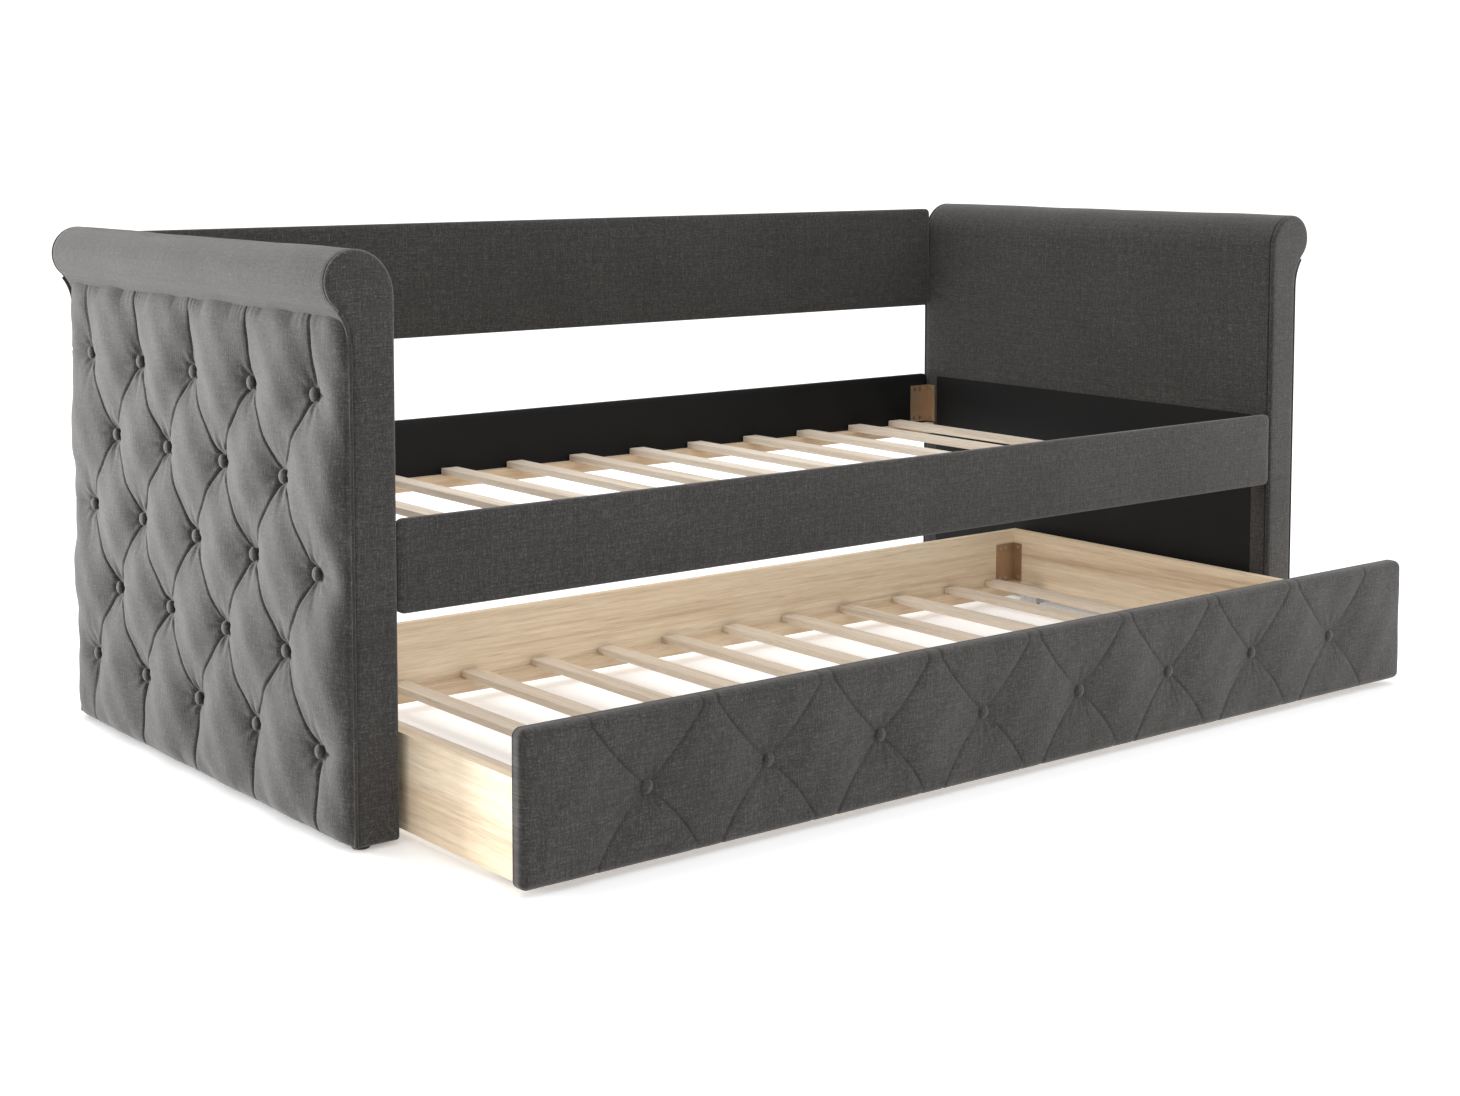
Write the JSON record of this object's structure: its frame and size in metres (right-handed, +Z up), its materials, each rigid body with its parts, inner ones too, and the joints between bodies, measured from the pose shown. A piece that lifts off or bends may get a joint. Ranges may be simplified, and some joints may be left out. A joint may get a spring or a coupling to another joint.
{
  "type": "trundle bed",
  "caption": "Upholstered day bed with tufted rolled arms, slatted base and a tufted trundle that rolls out on wheels from under it.",
  "frame": {"origin": "middle of the footprint on the floor, with the trundle drawn out 320 mm", "axes": "+X along the length to the right-hand arm, -Y towards the front where the trundle rolls out, +Z up"},
  "size_m": [2.23, 1.33, 0.883],
  "materials": {
    "charcoal_fabric": "charcoal slubbed linen weave over wadding",
    "black_lining": "smooth black lining",
    "board_wood": "light natural wood, clear satin",
    "slat_wood": "light natural wood, bare",
    "frame_timber": "sawn softwood",
    "plywood": "thin plywood sheet",
    "bracket_steel": "bronze lacquered folded steel",
    "zinc_steel": "zinc plated",
    "wheel_plastic": "black nylon",
    "foot_plastic": "black moulded glide"
  },
  "bodies": {
    "bed_frame": {"arm_buttons": "charcoal_fabric", "back_panel_board": "frame_timber", "back_panel_bolts": "zinc_steel", "back_panel_cover": "charcoal_fabric", "back_rail_board": "frame_timber", "back_rail_cover": "black_lining", "bracket_screws": "zinc_steel", "corner_brackets": "bracket_steel", "feet": "foot_plastic", "front_rail_board": "frame_timber", "front_rail_cover": "charcoal_fabric", "left_arm_back_post": "frame_timber", "left_arm_bottom_rail": "frame_timber", "left_arm_cover": "charcoal_fabric", "left_arm_front_post": "frame_timber", "left_arm_inner_panel": "plywood", "left_arm_lining": "black_lining", "left_arm_outer_pad": "charcoal_fabric", "left_arm_outer_panel": "plywood", "left_arm_top_rail": "frame_timber", "right_arm_back_post": "frame_timber", "right_arm_bottom_rail": "frame_timber", "right_arm_cover": "charcoal_fabric", "right_arm_front_post": "frame_timber", "right_arm_inner_panel": "plywood", "right_arm_lining": "black_lining", "right_arm_outer_pad": "charcoal_fabric", "right_arm_outer_panel": "plywood", "right_arm_top_rail": "frame_timber", "upper_slat_01": "slat_wood", "upper_slat_02": "slat_wood", "upper_slat_03": "slat_wood", "upper_slat_04": "slat_wood", "upper_slat_05": "slat_wood", "upper_slat_06": "slat_wood", "upper_slat_07": "slat_wood", "upper_slat_08": "slat_wood", "upper_slat_09": "slat_wood", "upper_slat_10": "slat_wood", "upper_slat_11": "slat_wood", "upper_slat_12": "slat_wood", "upper_slat_13": "slat_wood", "upper_slat_battens": "slat_wood"},
    "trundle": {"trundle_back_board": "board_wood", "trundle_buttons": "charcoal_fabric", "trundle_corner_brackets": "bracket_steel", "trundle_front_board": "frame_timber", "trundle_front_pad": "charcoal_fabric", "trundle_left_side": "board_wood", "trundle_right_side": "board_wood", "trundle_screws": "zinc_steel", "trundle_slat_battens": "slat_wood", "trundle_slats": "slat_wood", "wheel_axles": "zinc_steel", "wheel_housings": "zinc_steel"},
    "roller_back_left": {"wheel_back_left": "wheel_plastic"},
    "roller_back_right": {"wheel_back_right": "wheel_plastic"},
    "roller_front_left": {"wheel_front_left": "wheel_plastic"},
    "roller_front_right": {"wheel_front_right": "wheel_plastic"}
  },
  "joints": [
    {"name": "trundle_slide", "type": "slide", "parent": "bed_frame", "child": "trundle", "axis": [0, -1, 0], "range_m": [-0.32, 0.72]},
    {"name": "roller_back_left_spin", "type": "hinge", "parent": "trundle", "child": "roller_back_left", "pos_m": [-0.9565, 0.26, 0.02], "axis": [1, 0, 0], "continuous": true},
    {"name": "roller_back_right_spin", "type": "hinge", "parent": "trundle", "child": "roller_back_right", "pos_m": [0.9565, 0.26, 0.02], "axis": [1, 0, 0], "continuous": true},
    {"name": "roller_front_left_spin", "type": "hinge", "parent": "trundle", "child": "roller_front_left", "pos_m": [-0.9565, -0.57, 0.02], "axis": [1, 0, 0], "continuous": true},
    {"name": "roller_front_right_spin", "type": "hinge", "parent": "trundle", "child": "roller_front_right", "pos_m": [0.9565, -0.57, 0.02], "axis": [1, 0, 0], "continuous": true}
  ],
  "couplings": [
    {"joint": "roller_back_left_spin", "follows": "trundle_slide", "rad_per_m": 50},
    {"joint": "roller_back_right_spin", "follows": "trundle_slide", "rad_per_m": 50},
    {"joint": "roller_front_left_spin", "follows": "trundle_slide", "rad_per_m": 50},
    {"joint": "roller_front_right_spin", "follows": "trundle_slide", "rad_per_m": 50}
  ]
}
